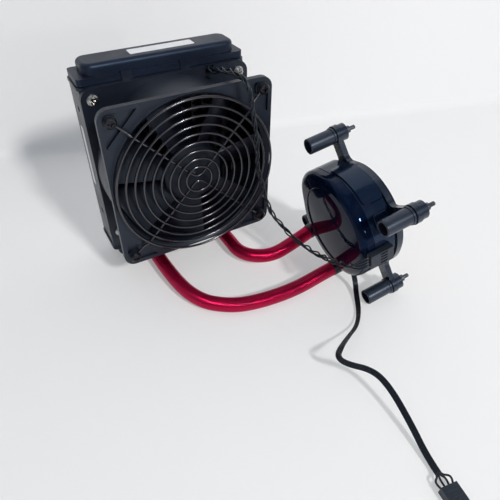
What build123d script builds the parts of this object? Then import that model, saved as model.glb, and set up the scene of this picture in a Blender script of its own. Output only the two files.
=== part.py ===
"""Liquid cooler: an upright radiator with its fan, and a pump head on two hoses.

Millimetres, +Z up. The origin is the middle of the lower tank's standing face, and the fan is
on the -Y side. The pump head lies on its edge to the right, on one of its screw sleeves.
"""

import os
from itertools import product
from math import atan, cos, radians, sin, sqrt, tan

from build123d import *

os.makedirs("parts", exist_ok=True)

# Radiator sizes
radiator_width = 120.0
radiator_depth = 27.0
radiator_height = 157.0
lip_corner = 4.0
tank_side_step = 6.0
tank_front_step = 2.5
tank_corner = 7.0
tank_round = 3.0
tank_wall = 2.0
top_rise = 7.5
bottom_rise = 11.0
foot_thickness = 4.5
foot_inset = 0.9
gasket_thickness = 0.5
gasket_inset = 1.2
lip_thickness = 2.0
tab_width = 7.0
tab_thickness = 0.8
tab_hook = 1.2
tab_positions = (-27.0, 14.0)
bottom_tab_positions = (-47.0, 0.0, 47.0)
braze_gap = 0.05
tube_count = 13
tube_pitch = 8.4
tube_thickness = 2.0
tube_depth = 20.0
fin_folds = 30
fin_thickness = 0.3
rail_width = 118.0
rail_sheet = 1.0
rail_flange = 11.5
rail_hole = 4.5
case_thread = 2.9
rail_hole_span = 83.0
label_thickness = 0.15
top_label_length = 46.0
top_label_width = 9.0
side_label_length = 46.0
side_label_width = 6.0
top_label_place = (3.0, 0.0)
side_label_place = (4.0, 89.0)

# Fan sizes
fan_height = 85.0
fan_size = 120.0
fan_depth = 38.0
fan_corner = 8.0
fan_flange = 4.0
fan_bore = 113.0
barrel_wall = 2.5
inlet_flare = 2.3
screw_pitch = 105.0
fan_screw_hole = 4.3
pocket_rim = 3.0
pocket_leg = 22.0
pocket_depth = 2.0
pocket_boss = 5.2
notch_place = 30.0
notch_width = 6.0
notch_depth = 4.3
notch_level = 2.0
motor_base_diameter = 44.0
strut_count = 4
strut_width = 4.5
strut_thickness = 3.0
bearing_tube_diameter = 11.0
bearing_tube_length = 22.0
bearing_diameter = 8.0
bearing_length = 4.0
shaft_diameter = 3.0
hub_diameter = 44.0
hub_base = 6.0
hub_front = 34.0
hub_wall = 1.8
hub_round = 2.5
blade_count = 7
blade_middle = 20.0
blade_thickness = 2.2
blade_edge = 0.7
tip_clearance = 1.2
magnet_thickness = 2.0
magnet_length = 14.0
stator_diameter = 33.0
stator_length = 11.0
board_thickness = 1.2
running_clearance = 0.05

# Finger guard and screw sizes
wire = 1.8
ring_count = 9
first_ring = 9.5
ring_step = 5.6
guard_height = 6.0
eyelet_radius = 3.3
head_diameter = 7.8
head_height = 2.3
guard_screw_shank = 4.0
guard_screw_reach = 8.0
radiator_screw_shank = 3.4
radiator_screw_reach = 6.8
recess_width = 1.1
recess_length = 4.0
recess_depth = 1.3
wire_bend = 7.0

# Pump head sizes
mount_pitch = 84.0
pump_place = (80.2, -114.8)
pump_yaw = -3.0
pump_tilt = 10.8
pump_roll = 10.5
pump_diameter = 79.0
lobe_angle = 24.0
lobe_place = 20.0
lobe_radius = 24.5
lobe_gap = 1.5
lobe_round = 1.5
cap_front = -6.0
cap_seam = 3.0
cap_round = 4.8
cap_wall = 2.0
dish_diameter = 63.0
dish_depth = 0.5
seam_groove = 0.6
housing_wall = 2.5
ring_level = 21.0
ring_thickness = 4.0
ring_width = 3.8
ring_seat = 71.0
ring_gap = 0.2
plate_level = 27.0
shoulder_diameter = 76.0
plate_diameter = 62.0
plate_thickness = 4.5
plate_screw_count = 8
plate_screw_circle = 54.0
seal_width = 1.5
seal_thickness = 0.8
can_radius = 11.4
can_wall = 0.8
can_front = 6.0
volute_level = 16.0
volute_thickness = 1.6
rotor_gap = 0.6
impeller_radius = 15.0
vane_count = 6
pump_shaft_diameter = 2.4
pump_stator_diameter = 44.0
chamber_diameter = 44.0
ledge_width = 3.0
ledge_thickness = 2.0
seal_radius = 23.0
plate_screw_shank = 2.5
plate_screw_head = 5.0
plate_screw_cone = 1.3
plate_screw_hex = 2.0
plate_screw_reach = 6.0
plate_clearance = 0.5
rib_count = 9
rib_pitch = 2.4
rib_thickness = 1.0
rib_length = 22.0
rib_height = 2.0
impeller_level = 18.4
impeller_thickness = 1.5
vane_height = 2.8
panel_angle = 87.0
panel_width = 40.0
panel_low = 4.5
panel_high = 20.0
panel_rise = 1.2
panel_corner = 3.0
latch_angle = 135.0
latch_width = 11.0
latch_low = 6.5
latch_high = 17.0
latch_rise = 2.0
latch_corner = 2.0
grommet_angle = 240.0
grommet_diameter = 6.4
grommet_reach = 1.5
socket_angle = 167.0
socket_level = 9.5
socket_width = 11.0
socket_height = 4.0
socket_depth = 4.6
pad_rise = 0.8
pin_count = 4
pin_pitch = 2.54
pin_width = 0.6
pin_reach = 6.0
plug_length = 14.0
plug_gap = 0.1
pin_hole = 1.1
window_width = 1.3
window_length = 5.5
window_depth = 0.8
spigot_depth = 3.0

# Captive screw sizes
sleeve_diameter = 11.3
sleeve_bore = 9.0
collar_diameter = 12.4
ear_diameter = 13.6
arm_width = 9.4
arm_round = 6.0
boss_diameter = 12.2
boss_length = 5.0
captive_head = 7.2
captive_head_height = 3.0
captive_shank = 3.6
captive_hole = 3.8
shoulder_step = 5.2
shoulder_length = 4.0
thread_diameter = 3.0
thread_length = 5.0
washer_level = 11.5
washer_thickness = 0.8
spring_wire = 0.7
spring_turns = 4
spring_gap = 0.15
spring_radius = 3.4
washer_diameter = 8.2
step_gap = 0.1

# Hose and cable sizes
hose_diameter = 11.0
hose_bore = 8.0
barb_place = 30.0
barb_height = 7.0
barb_reach = 14.0
barb_boss_diameter = 13.0
barb_boss_length = 5.0
hose_collar_diameter = 12.8
hose_collar_length = 8.0
elbow_diameter = 10.0
elbow_level = 9.0
elbow_leg = 7.0
elbow_spigot = 8.0
elbow_barb_reach = 10.0
port_diameter = 14.0
port_rise = 0.8
port_depth = 5.0
hose_gap = 0.4
shrink_diameter = 11.6
long_elbow_angle = 262.0
short_elbow_angle = 311.0
fan_cable_diameter = 4.0
power_cable_diameter = 4.0
elbow_round = 2.0
outlet_diameter = 9.4
port_bore = 4.6
connector_width = 10.5
connector_depth = 6.0
connector_length = 15.0
boot_length = 9.0

# Where the hoses and cables bend, as points on their middle lines
long_bends = (
    (-30.0, -56.0, 7.0),
    (-23.0, -90.0, 5.8),
    (-4.0, -107.5, 5.8),
    (18.0, -114.0, 5.8),
    (48.0, -116.0, 5.8),
)
long_last_run = 22.0
short_bends = ((30.0, -38.0, 7.0), (29.6, -62.0, 6.8), (46.0, -79.5, 10.5))
short_bend = (67.0, -81.0, 17.2)
fan_cable_bends = (
    (30.0, -24.0, 143.0),
    (31.0, -41.0, 150.5),
    (34.5, -63.0, 150.0),
    (41.0, -63.0, 118.0),
    (42.5, -63.5, 84.0),
    (54.0, -63.0, 43.0),
    (60.0, -90.0, 31.0),
    (66.0, -117.0, 31.5),
    (63.5, -145.0, 46.0),
)
fan_cable_last_run = 7.0
power_first_run = 9.0
power_cable_bends = (
    (86.5, -140.0, 2.9),
    (77.3, -154.7, 2.0),
    (65.4, -166.3, 4.0),
    (51.1, -173.2, 8.0),
    (38.1, -180.9, 14.0),
    (28.3, -188.5, 19.0),
    (29.0, -196.0, 20.2),
    (41.3, -207.2, 19.0),
    (44.5, -220.0, 15.0),
    (42.5, -242.0, 8.0),
    (39.2, -259.0, 3.0),
)
connector_place = (37.6, -269.4, 3.0)

# Levels and planes that follow from the sizes
tank_width = radiator_width - 2 * tank_side_step
tank_depth = radiator_depth - 2 * tank_front_step
core_bottom = bottom_rise + foot_thickness + gasket_thickness + lip_thickness
core_top = radiator_height - top_rise - foot_thickness - gasket_thickness - lip_thickness
core_height = core_top - core_bottom
front_face = -radiator_depth / 2
fan_plane = Plane(origin=(0, front_face, fan_height), x_dir=(1, 0, 0), z_dir=(0, -1, 0))
fan_axis = Axis(fan_plane.origin, fan_plane.z_dir)

# The pump head's plane: z along its axis towards the cold plate, resting on its lowest sleeve
pump_dir = Vector(1, 0, 0).rotate(Axis.Y, -pump_tilt).rotate(Axis.Z, pump_yaw)
pump_x = Vector(0, 1, 0).rotate(Axis.Z, pump_yaw).rotate(Axis((0, 0, 0), pump_dir), pump_roll)
pump_y = pump_dir.cross(pump_x)
pump_rise = mount_pitch / 2 * (pump_x.Z + pump_y.Z) + sleeve_diameter / 2 * cos(radians(pump_tilt))
pump_plane = Plane(origin=(*pump_place, pump_rise), x_dir=pump_x, z_dir=pump_dir)
pump_axis = Axis(pump_plane.origin, pump_plane.z_dir)
pump_radius = pump_diameter / 2
sleeve_length = ring_level


def section(plane):
    """The plane through a round piece's axis: x is the radius and y the height."""
    return Plane(origin=plane.origin, x_dir=plane.x_dir, z_dir=plane.x_dir.cross(plane.z_dir))


def spot(plane, x, y, height=0.0):
    """The same plane moved to a point given in its own coordinates."""
    return Plane(origin=plane.from_local_coords((x, y, height)), x_dir=plane.x_dir, z_dir=plane.z_dir)


def turned(plane, *points, rounds=(), mode=Mode.ADD):
    """Revolve a closed profile of (radius, height) points about the plane's own axis.

    Each of the rounds is a profile corner and the radius that it gets.
    """
    with BuildSketch(section(plane)) as profile:
        with BuildLine():
            Polyline(*points, close=True)
        make_face()
        for corner, radius in rounds:
            fillet(profile.vertices().sort_by_distance(corner)[0], radius)
    revolve(profile.sketch, axis=Axis(plane.origin, plane.z_dir), mode=mode)


def side_plane(angle, radius, level):
    """A plane on the pump head's side, facing out: x runs round the body and y along its axis."""
    out = pump_x.rotate(Axis((0, 0, 0), pump_dir), angle)
    origin = pump_plane.origin + out * radius + pump_dir * level
    return Plane(origin=origin, x_dir=pump_dir.cross(out), z_dir=out)


def socket_plane(radius, shift):
    """The fan socket's plane on the head's side, moved along the pump head's axis."""
    return side_plane(socket_angle, radius, socket_level + shift)


def barb(plane, reach):
    """A hose barb with two ridges, from the plane outwards."""
    root = hose_bore / 2 - 0.4
    crest = hose_bore / 2
    bore = hose_bore / 2 - 1.4
    first = reach * 0.45
    second = reach * 0.75
    turned(
        plane,
        (bore, 0),
        (root, 0),
        (root, first - 1.5),
        (crest, first - 1.5),
        (root, first + 1),
        (root, second - 1.5),
        (crest, second - 1.5),
        (root, reach - 0.4),
        (root - 0.4, reach),
        (bore, reach),
    )


def screw(plane, head, height, shank, reach):
    """A pan head with a cross recess above the plane, and its shank below."""
    edge = height * 0.45
    turned(
        plane,
        (0, -reach),
        (shank / 2 - 0.4, -reach),
        (shank / 2, 0.4 - reach),
        (shank / 2, 0),
        (head / 2, 0),
        (head / 2, edge),
        (head / 2 - 0.8, height - 0.3),
        (head / 4, height),
        (0, height),
    )
    with BuildSketch(plane.offset(height)) as recess:
        Rectangle(recess_length, recess_width)
        Rectangle(recess_width, recess_length)
    extrude(recess.sketch, amount=-recess_depth, mode=Mode.SUBTRACT)


# Lower tank, which the radiator stands on, with a barb for each hose
with BuildPart() as bottom_tank:
    with BuildSketch(Plane.XY):
        RectangleRounded(tank_width, tank_depth, tank_corner)
    extrude(amount=bottom_rise)
    chamfer(bottom_tank.faces().sort_by(Axis.Z)[0].edges(), tank_round / 2)
    with BuildSketch(Plane.XY.offset(bottom_rise)):
        RectangleRounded(
            radiator_width - 2 * foot_inset, radiator_depth - 2 * foot_inset, lip_corner - foot_inset
        )
    extrude(amount=foot_thickness)
    for side in (-1, 1):
        boss_plane = Plane(
            origin=(side * barb_place, 1 - tank_depth / 2, barb_height), x_dir=(1, 0, 0), z_dir=(0, -1, 0)
        )
        with BuildSketch(boss_plane):
            Circle(barb_boss_diameter / 2)
        extrude(amount=1 + barb_boss_length)
        barb(boss_plane.offset(1 + barb_boss_length - 0.2), barb_reach + 0.2)
    with BuildSketch(Plane.XY.offset(tank_wall)):
        RectangleRounded(tank_width - 2 * tank_wall, tank_depth - 2 * tank_wall, tank_corner - tank_wall)
    extrude(amount=bottom_rise + foot_thickness - tank_wall, mode=Mode.SUBTRACT)
    for side in (-1, 1):
        bore_plane = Plane(origin=(side * barb_place, 0, barb_height), x_dir=(1, 0, 0), z_dir=(0, -1, 0))
        with BuildSketch(bore_plane):
            Circle(hose_bore / 2 - 1.4)
        extrude(amount=tank_depth / 2 + barb_boss_length + 1, mode=Mode.SUBTRACT)
bottom_tank.part.label = "bottom_tank"
export_step(bottom_tank.part, "parts/bottom_tank.step")

# Upper tank
foot_top = radiator_height - top_rise
with BuildPart() as top_tank:
    with BuildSketch(Plane.XY.offset(foot_top)):
        RectangleRounded(tank_width, tank_depth, tank_corner)
    extrude(amount=top_rise)
    fillet(top_tank.faces().sort_by(Axis.Z)[-1].edges(), tank_round)
    with BuildSketch(Plane.XY.offset(foot_top - foot_thickness)):
        RectangleRounded(
            radiator_width - 2 * foot_inset, radiator_depth - 2 * foot_inset, lip_corner - foot_inset
        )
    extrude(amount=foot_thickness)
    with BuildSketch(Plane.XY.offset(foot_top - foot_thickness)):
        RectangleRounded(tank_width - 2 * tank_wall, tank_depth - 2 * tank_wall, tank_corner - tank_wall)
    extrude(amount=foot_thickness + top_rise - tank_wall, mode=Mode.SUBTRACT)
top_tank.part.label = "top_tank"
export_step(top_tank.part, "parts/top_tank.step")

# Headers: a slotted plate for the tubes, with clip tabs folded over the tank's foot
for name, level, away, places in (
    ("bottom_header", core_bottom - lip_thickness, -1, bottom_tab_positions),
    ("top_header", core_top, 1, tab_positions),
):
    with BuildPart() as header:
        with BuildSketch(Plane.XY.offset(level)):
            RectangleRounded(radiator_width, radiator_depth, lip_corner)
            with GridLocations(tube_pitch, 1, tube_count, 1):
                Rectangle(tube_thickness + 2 * braze_gap, tube_depth + 2 * braze_gap, mode=Mode.SUBTRACT)
        extrude(amount=lip_thickness)
        outer = level + lip_thickness if away > 0 else level
        reach = gasket_thickness + foot_thickness + tab_thickness
        face = radiator_depth / 2 - foot_inset
        for side in (-1, 1):
            for place in places:
                leg = Plane(origin=(place, side * face, outer), x_dir=(side * away, 0, 0), z_dir=(0, 0, away))
                with BuildSketch(leg):
                    with Locations((0, braze_gap)):
                        Rectangle(tab_width, tab_thickness, align=(Align.CENTER, Align.MIN))
                extrude(amount=reach + braze_gap)
                with BuildSketch(leg.offset(reach + braze_gap - tab_thickness)):
                    with Locations((0, braze_gap + tab_thickness)):
                        Rectangle(tab_width, tab_thickness + tab_hook, align=(Align.CENTER, Align.MAX))
                extrude(amount=tab_thickness)
    header.part.label = name
    export_step(header.part, f"parts/{name}.step")

# Gaskets: a flat ring between each header and the foot of its tank
for name, level in (
    ("bottom_gasket", bottom_rise + foot_thickness),
    ("top_gasket", core_top + lip_thickness),
):
    with BuildPart() as gasket:
        with BuildSketch(Plane.XY.offset(level)):
            RectangleRounded(
                radiator_width - 2 * foot_inset - 2 * gasket_inset,
                radiator_depth - 2 * foot_inset - 2 * gasket_inset,
                lip_corner,
            )
            RectangleRounded(
                tank_width - 2 * tank_wall,
                tank_depth - 2 * tank_wall,
                tank_corner - tank_wall,
                mode=Mode.SUBTRACT,
            )
        extrude(amount=gasket_thickness)
    gasket.part.label = name
    export_step(gasket.part, f"parts/{name}.step")

# Flat tubes, which run from tank to tank through both headers
with BuildPart() as radiator_tubes:
    with BuildSketch(Plane.XY.offset(core_bottom - lip_thickness)) as tube_ends:
        with GridLocations(tube_pitch, 1, tube_count, 1):
            Rectangle(tube_thickness, tube_depth)
        chamfer(tube_ends.vertices(), tube_thickness / 4)
    extrude(amount=core_height + 2 * lip_thickness)
radiator_tubes.part.label = "radiator_tubes"
export_step(radiator_tubes.part, "parts/radiator_tubes.step")

# Fins: one folded strip in each gap beside the tubes
fin_width = tube_pitch - tube_thickness
fold_step = core_height / fin_folds
fin_slant = fin_thickness / sin(atan(fold_step / fin_width))
fold_line = [
    (fin_width / 2 - fin_slant if i % 2 else -fin_width / 2, core_bottom + i * fold_step)
    for i in range(fin_folds + 1)
]
with BuildPart() as radiator_fins:
    with BuildSketch(Plane.XZ.offset(-tube_depth / 2)) as fin_profile:
        with GridLocations(tube_pitch, 1, tube_count + 1, 1):
            Polygon(*fold_line, *[(x + fin_slant, z) for x, z in reversed(fold_line)], align=None)
    extrude(amount=tube_depth)
radiator_fins.part.label = "radiator_fins"
export_step(radiator_fins.part, "parts/radiator_fins.step")

# Side rails: folded channels with threaded holes for the screws at the front and the back
for name, side in (("side_rail_left", -1), ("side_rail_right", 1)):
    with BuildPart() as side_rail:
        with BuildSketch(Plane.XY.offset(core_bottom)):
            with Locations((side * (rail_width - rail_flange) / 2, 0)):
                Rectangle(rail_flange, radiator_depth)
            with Locations((side * (rail_width - rail_flange - 2 * rail_sheet) / 2, 0)):
                Rectangle(rail_flange, radiator_depth - 2 * rail_sheet, mode=Mode.SUBTRACT)
        extrude(amount=core_height)
        outer_edges = side_rail.edges().filter_by(Axis.Z).group_by(Axis.X)[-1 if side > 0 else 0]
        fillet(outer_edges, rail_sheet)
        with BuildSketch(Plane.YZ.offset(side * rail_width / 2)):
            with Locations((0, fan_height)):
                with GridLocations(1, rail_hole_span, 1, 2):
                    Circle(rail_hole / 2)
        extrude(amount=-side * 2 * rail_sheet, mode=Mode.SUBTRACT)
        for level, hole in (
            (0, radiator_screw_shank / 2 + running_clearance),
            (2 * rail_sheet - radiator_depth, case_thread / 2),
        ):
            with BuildSketch(fan_plane.offset(level)):
                with GridLocations(screw_pitch, screw_pitch, 2, 2):
                    Circle(hole)
            extrude(amount=-2 * rail_sheet, mode=Mode.SUBTRACT)
    side_rail.part.label = name
    export_step(side_rail.part, f"parts/{name}.step")

# Blank stickers on the upper tank and on the left rail
with BuildPart() as top_label:
    with BuildSketch(Plane.XY.offset(radiator_height)):
        with Locations(top_label_place):
            RectangleRounded(top_label_length, top_label_width, 1)
    extrude(amount=label_thickness)
top_label.part.label = "top_label"
export_step(top_label.part, "parts/top_label.step")

with BuildPart() as side_label:
    with BuildSketch(Plane.YZ.offset(-rail_width / 2)):
        with Locations(side_label_place):
            RectangleRounded(side_label_width, side_label_length, 1)
    extrude(amount=-label_thickness)
side_label.part.label = "side_label"
export_step(side_label.part, "parts/side_label.step")

# Fan frame: two flanges, the barrel, the struts, the motor base and its bearing tube
with BuildPart() as fan_frame:
    for level in (0, fan_depth - fan_flange):
        with BuildSketch(fan_plane.offset(level)):
            RectangleRounded(fan_size, fan_size, fan_corner)
            Circle(fan_bore / 2, mode=Mode.SUBTRACT)
            with GridLocations(screw_pitch, screw_pitch, 2, 2):
                Circle(fan_screw_hole / 2, mode=Mode.SUBTRACT)
        extrude(amount=fan_flange)
    with BuildSketch(fan_plane):
        Circle(fan_bore / 2 + barrel_wall)
        Circle(fan_bore / 2, mode=Mode.SUBTRACT)
    extrude(amount=fan_depth)
    inlet = fan_frame.edges().filter_by(GeomType.CIRCLE).filter_by(lambda e: abs(e.radius - fan_bore / 2) < 0.01)
    chamfer(inlet.sort_by(Axis.Y)[0], inlet_flare)
    with BuildSketch(fan_plane.offset(fan_depth)) as pockets:
        far = fan_size / 2 - pocket_rim
        near = far - pocket_leg
        for x, y in product((-1, 1), repeat=2):
            Polygon((x * far, y * far), (x * near, y * far), (x * far, y * near), align=None)
        fillet(pockets.vertices().group_by(SortBy.DISTANCE)[-1], fan_corner - pocket_rim)
        with GridLocations(screw_pitch, screw_pitch, 2, 2):
            Circle(pocket_boss, mode=Mode.SUBTRACT)
    extrude(pockets.sketch, amount=-pocket_depth, mode=Mode.SUBTRACT)
    with BuildSketch(fan_plane.offset(notch_level)):
        with Locations((notch_place, fan_size / 2)):
            Rectangle(notch_width, 2 * notch_depth)
    extrude(amount=fan_flange - notch_level, mode=Mode.SUBTRACT)
    with BuildSketch(fan_plane):
        Circle(motor_base_diameter / 2)
        with PolarLocations(0, strut_count, start_angle=45):
            Rectangle(fan_bore / 2 + barrel_wall / 2, strut_width, align=(Align.MIN, Align.CENTER))
    extrude(amount=strut_thickness)
    with BuildSketch(fan_plane.offset(strut_thickness)):
        Circle(bearing_tube_diameter / 2)
    extrude(amount=bearing_tube_length)
    with BuildSketch(fan_plane.offset(strut_thickness)):
        Circle(bearing_diameter / 2)
    extrude(amount=bearing_tube_length, mode=Mode.SUBTRACT)
fan_frame.part.label = "fan_frame"
export_step(fan_frame.part, "parts/fan_frame.step")

# Bearings at both ends of the bearing tube
shaft_hole = shaft_diameter / 2 + running_clearance
with BuildPart() as fan_bearings:
    for level in (strut_thickness, strut_thickness + bearing_tube_length - bearing_length):
        with BuildSketch(fan_plane.offset(level)):
            Circle(bearing_diameter / 2)
            Circle(shaft_hole, mode=Mode.SUBTRACT)
        extrude(amount=bearing_length)
fan_bearings.part.label = "fan_bearings"
export_step(fan_bearings.part, "parts/fan_bearings.step")

# Stator and circuit board around the bearing tube
with BuildPart() as fan_stator:
    with BuildSketch(fan_plane.offset(strut_thickness + board_thickness + 2.5)):
        Circle(bearing_tube_diameter / 2 + 2.5)
        with PolarLocations(0, 4):
            Rectangle(stator_diameter / 2 - 1, 4.5, align=(Align.MIN, Align.CENTER))
            with Locations((stator_diameter / 2 - 2, 0)):
                Rectangle(2, 14)
        Circle(stator_diameter / 2, mode=Mode.INTERSECT)
        Circle(bearing_tube_diameter / 2, mode=Mode.SUBTRACT)
    extrude(amount=stator_length)
fan_stator.part.label = "fan_stator"
export_step(fan_stator.part, "parts/fan_stator.step")

with BuildPart() as fan_board:
    with BuildSketch(fan_plane.offset(strut_thickness)):
        Circle(motor_base_diameter / 2 - 4)
        Circle(bearing_tube_diameter / 2, mode=Mode.SUBTRACT)
    extrude(amount=board_thickness)
fan_board.part.label = "fan_board"
export_step(fan_board.part, "parts/fan_board.step")


def blade_section(radius, chord, stagger, camber):
    """A thin cambered blade section on the plane at a radius; stagger is measured from the rim."""
    plane = Plane(
        origin=fan_plane.from_local_coords((radius, 0, blade_middle)),
        x_dir=fan_plane.y_dir,
        z_dir=fan_plane.x_dir,
    )
    along = Vector(cos(radians(stagger)), sin(radians(stagger)), 0)
    across = Vector(-along.Y, along.X, 0)
    nose = along * (-chord / 2)
    tail = along * (chord / 2)
    edge = across * (blade_edge / 2)
    with BuildSketch(plane) as outline:
        with BuildLine():
            ThreePointArc(nose + edge, across * (camber + blade_thickness / 2), tail + edge)
            Line(tail + edge, tail - edge)
            ThreePointArc(tail - edge, across * (camber - blade_thickness / 2), nose - edge)
            Line(nose - edge, nose + edge)
        make_face()
    return outline.sketch


# One fan blade, lofted from hub to tip and trimmed to the bore
tip_radius = fan_bore / 2 - tip_clearance
with BuildPart() as blade:
    loft(
        [
            blade_section(hub_diameter / 2 - hub_wall, 31.0, 52.0, 3.2),
            blade_section((hub_diameter / 2 + tip_radius) / 2, 38.0, 42.0, 3.6),
            blade_section(tip_radius + 2, 45.0, 34.0, 4.0),
        ]
    )
    with BuildSketch(fan_plane) as swept_ring:
        Circle(tip_radius)
        Circle(hub_diameter / 2 - hub_wall / 2, mode=Mode.SUBTRACT)
    extrude(amount=fan_depth, mode=Mode.INTERSECT)

# Fan rotor: the hub cup, a boss for the shaft and the blades
with BuildPart() as fan_rotor:
    hub = hub_diameter / 2
    turned(
        fan_plane,
        (hub - hub_wall, hub_base),
        (hub, hub_base),
        (hub, hub_front - hub_round),
        (hub - hub_round * 0.3, hub_front - hub_round * 0.3),
        (hub - hub_round, hub_front),
        (shaft_diameter / 2, hub_front),
        (shaft_diameter / 2, strut_thickness + bearing_tube_length + 0.5),
        (shaft_diameter / 2 + 2, strut_thickness + bearing_tube_length + 0.5),
        (shaft_diameter / 2 + 2, hub_front - hub_wall),
        (hub - hub_wall, hub_front - hub_wall),
    )
    for i in range(blade_count):
        add(blade.part.rotate(fan_axis, i * 360 / blade_count))
fan_rotor.part.label = "fan_rotor"
export_step(fan_rotor.part, "parts/fan_rotor.step")

with BuildPart() as fan_shaft:
    with BuildSketch(fan_plane.offset(strut_thickness + 0.3)):
        Circle(shaft_diameter / 2)
    extrude(amount=hub_front - 0.2 - strut_thickness - 0.3)
fan_shaft.part.label = "fan_shaft"
export_step(fan_shaft.part, "parts/fan_shaft.step")

with BuildPart() as fan_magnet:
    with BuildSketch(fan_plane.offset(hub_base + 0.5)):
        Circle(hub - hub_wall)
        Circle(hub - hub_wall - magnet_thickness, mode=Mode.SUBTRACT)
    extrude(amount=magnet_length)
fan_magnet.part.label = "fan_magnet"
export_step(fan_magnet.part, "parts/fan_magnet.step")

# Finger guard: two bent wires cross behind the rings and end in an eyelet at each corner
wire_flat = wire * cos(radians(30))
ring_height = fan_depth + guard_height - wire_flat / 2
spoke_height = ring_height - 0.8 * wire_flat
eyelet_height = fan_depth + wire_flat / 2
corner_radius = screw_pitch / 2 * sqrt(2)
last_ring = first_ring + (ring_count - 1) * ring_step


def guard_point(angle, radius, height):
    """A point of the finger guard from its polar coordinates on the fan."""
    return fan_plane.from_local_coords((radius * cos(radians(angle)), radius * sin(radians(angle)), height))


def guard_ring(plane, radius):
    """A closed ring of wire about the plane's axis, in its plane."""
    half = wire / 2
    turned(
        plane,
        (radius - half, 0),
        (radius - half / 2, -wire_flat / 2),
        (radius + half / 2, -wire_flat / 2),
        (radius + half, 0),
        (radius + half / 2, wire_flat / 2),
        (radius - half / 2, wire_flat / 2),
    )


with BuildPart() as finger_guard:
    for i in range(ring_count):
        guard_ring(fan_plane.offset(ring_height), first_ring + i * ring_step)
    for side in (1, -1):
        with BuildLine() as bent_wire:
            FilletPolyline(
                guard_point(side * 45, corner_radius - eyelet_radius, eyelet_height),
                guard_point(side * 45, last_ring + 5, eyelet_height),
                guard_point(side * 45, last_ring + 1, spoke_height),
                guard_point(0, 0, spoke_height),
                guard_point(side * 135, last_ring + 1, spoke_height),
                guard_point(side * 135, last_ring + 5, eyelet_height),
                guard_point(side * 135, corner_radius - eyelet_radius, eyelet_height),
                radius=[1.8, 1.8, wire_bend, 1.8, 1.8],
            )
        with BuildSketch(Plane(bent_wire.line @ 0, x_dir=fan_plane.z_dir, z_dir=bent_wire.line % 0)) as wire_end:
            RegularPolygon(wire / 2, 6, rotation=30)
        sweep(sections=wire_end.sketch, path=bent_wire.line)
    for x, y in product((-screw_pitch / 2, screw_pitch / 2), repeat=2):
        guard_ring(spot(fan_plane, x, y, eyelet_height), eyelet_radius)
finger_guard.part.label = "finger_guard"
export_step(finger_guard.part, "parts/finger_guard.step")

# Screws: black ones through the guard's eyelets, bright ones through the rear flange
with BuildPart() as guard_screws:
    for x, y in product((-screw_pitch / 2, screw_pitch / 2), repeat=2):
        screw(
            spot(fan_plane, x, y, fan_depth + wire_flat),
            head_diameter,
            head_height,
            guard_screw_shank,
            guard_screw_reach,
        )
guard_screws.part.label = "guard_screws"
export_step(guard_screws.part, "parts/guard_screws.step")

with BuildPart() as radiator_screws:
    for x, y in product((-screw_pitch / 2, screw_pitch / 2), repeat=2):
        screw(
            spot(fan_plane, x, y, fan_flange),
            head_diameter,
            head_height,
            radiator_screw_shank,
            radiator_screw_reach,
        )
radiator_screws.part.label = "radiator_screws"
export_step(radiator_screws.part, "parts/radiator_screws.step")

# The pump head's outer shape: round, with a lobe at the upper back
with BuildPart() as head_shape:
    with BuildSketch(pump_plane.offset(cap_front)):
        Circle(pump_radius)
        with Locations((lobe_place * cos(radians(lobe_angle)), lobe_place * sin(radians(lobe_angle)))):
            Circle(lobe_radius)
        make_hull()
    extrude(amount=ring_level - lobe_gap - cap_front)
    head_ends = head_shape.faces().filter_by(GeomType.PLANE).sort_by(pump_axis)
    fillet(head_ends[0].edges(), cap_round)
    fillet(head_ends[-1].edges(), lobe_round)

# Pump cap: the glossy front shell, with a shallow dish in its face
cap_bottom = cap_front + cap_wall + dish_depth
with BuildPart() as pump_cap:
    add(head_shape.part)
    with BuildSketch(pump_plane.offset(cap_seam)):
        Circle(2 * pump_radius)
    extrude(amount=ring_level, mode=Mode.SUBTRACT)
    seam_face = pump_cap.faces().filter_by(GeomType.PLANE).sort_by(pump_axis)[-1]
    chamfer(seam_face.edges(), seam_groove / 2)
    turned(
        pump_plane,
        (0, cap_front - 1),
        (dish_diameter / 2, cap_front - 1),
        (dish_diameter / 2, cap_front),
        (dish_diameter / 2 - dish_depth, cap_front + dish_depth),
        (0, cap_front + dish_depth),
        mode=Mode.SUBTRACT,
    )
    turned(
        pump_plane,
        (0, cap_bottom),
        (pump_radius - cap_wall, cap_bottom),
        (pump_radius - cap_wall, cap_seam + 1),
        (0, cap_seam + 1),
        rounds=(((pump_radius - cap_wall, cap_bottom), cap_round - cap_wall),),
        mode=Mode.SUBTRACT,
    )
    with BuildSketch(side_plane(grommet_angle, 0, cap_seam)):
        Circle(grommet_diameter / 2)
    extrude(amount=pump_radius + 1, mode=Mode.SUBTRACT)
pump_cap.part.label = "pump_cap"
export_step(pump_cap.part, "parts/pump_cap.step")

# Raised panels on the housing's side, as blocks cut to the round shape
side_panels = []
for angle, width, low, high, rise, corner in (
    (panel_angle, panel_width, panel_low, panel_high, panel_rise, panel_corner),
    (latch_angle, latch_width, latch_low, latch_high, latch_rise, latch_corner),
):
    with BuildPart() as side_panel:
        with BuildSketch(side_plane(angle, 0, (low + high) / 2)):
            RectangleRounded(width, high - low, corner)
        extrude(amount=pump_radius + rise + 1)
        turned(
            pump_plane,
            (pump_radius - 1, low - 1),
            (pump_radius + rise, low - 1),
            (pump_radius + rise, high + 1),
            (pump_radius - 1, high + 1),
            mode=Mode.INTERSECT,
        )
        if rise > panel_rise:
            skin = side_panel.faces().filter_by(GeomType.CYLINDER).sort_by_distance(pump_plane.origin)[-1]
            fillet(skin.edges(), 0.6)
    side_panels.append(side_panel.part)

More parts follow.
